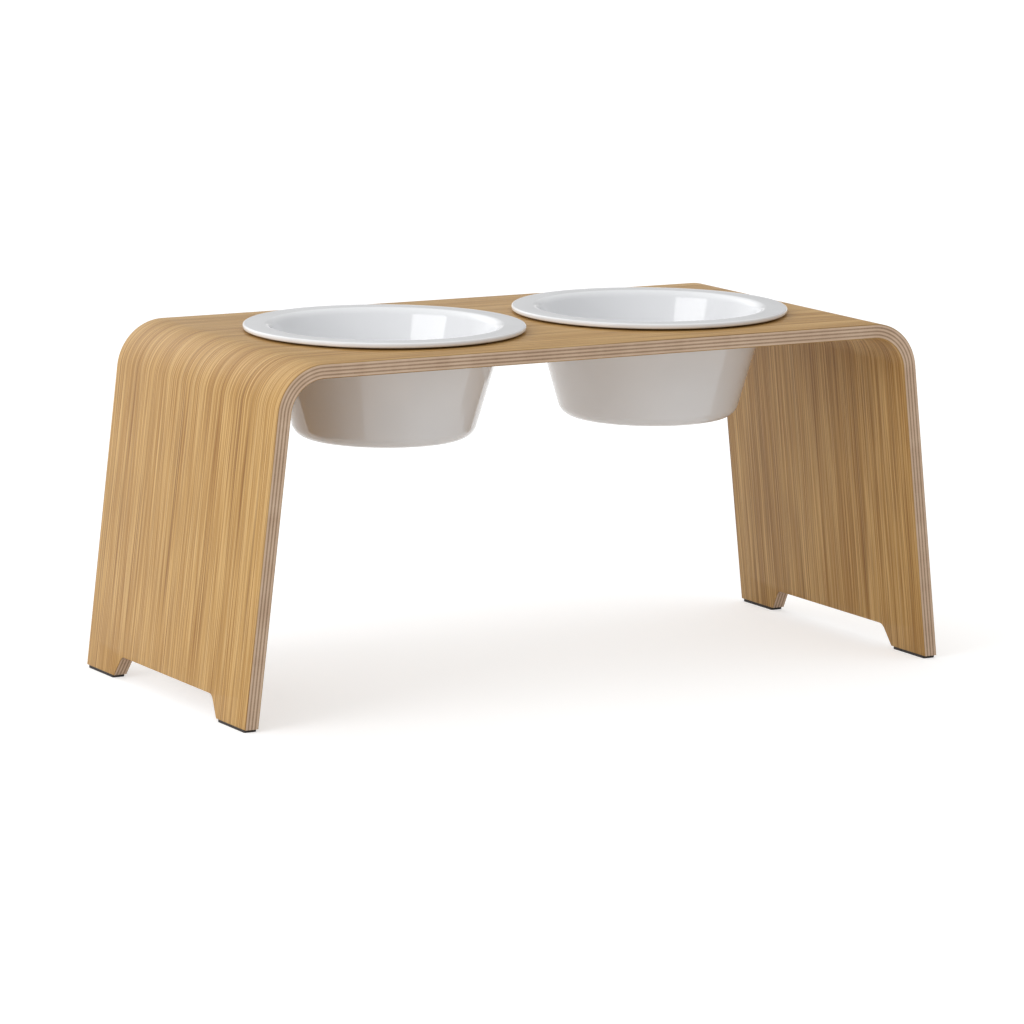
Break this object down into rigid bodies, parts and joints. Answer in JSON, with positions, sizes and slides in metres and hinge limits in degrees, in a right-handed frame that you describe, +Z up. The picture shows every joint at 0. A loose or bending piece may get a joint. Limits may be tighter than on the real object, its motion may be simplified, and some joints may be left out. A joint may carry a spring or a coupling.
{
  "type": "elevated dog feeder",
  "caption": "Low table bent from moulded oak plywood, with porcelain bowls hung by their rims in round holes so that a dog eats and drinks at a raised height.",
  "frame": {"origin": "on the floor, under the middle of the table", "axes": "+Z up, +X along the table from the left bowl to the right bowl, the front side faces -Y"},
  "size_m": [0.5646, 0.25, 0.254],
  "materials": {
    "oak_veneer": "oak veneer with fine straight grain, clear satin lacquer",
    "pale_ply": "beech ply of the core, long grain, lacquered edge",
    "dark_ply": "beech ply of the core, end grain, lacquered edge",
    "porcelain": "white porcelain with a clear gloss glaze",
    "pad_rubber": "thin dark anti-slip rubber"
  },
  "bodies": {
    "stand": {"outer_oak_veneer": "oak_veneer", "core_ply_1": "pale_ply", "core_ply_2": "dark_ply", "core_ply_3": "pale_ply", "core_ply_4": "dark_ply", "core_ply_5": "pale_ply", "core_ply_6": "dark_ply", "core_ply_7": "pale_ply", "inner_oak_veneer": "oak_veneer", "front_left_foot_pad": "pad_rubber", "front_right_foot_pad": "pad_rubber", "rear_left_foot_pad": "pad_rubber", "rear_right_foot_pad": "pad_rubber"},
    "left_bowl": {"left_bowl": "porcelain"},
    "right_bowl": {"right_bowl": "porcelain"}
  },
  "joints": [
    {"name": "left_bowl_lift", "type": "slide", "parent": "stand", "child": "left_bowl", "axis": [0, 0, 1], "range_m": [0, 0.1]},
    {"name": "right_bowl_lift", "type": "slide", "parent": "stand", "child": "right_bowl", "axis": [0, 0, 1], "range_m": [0, 0.1]}
  ]
}
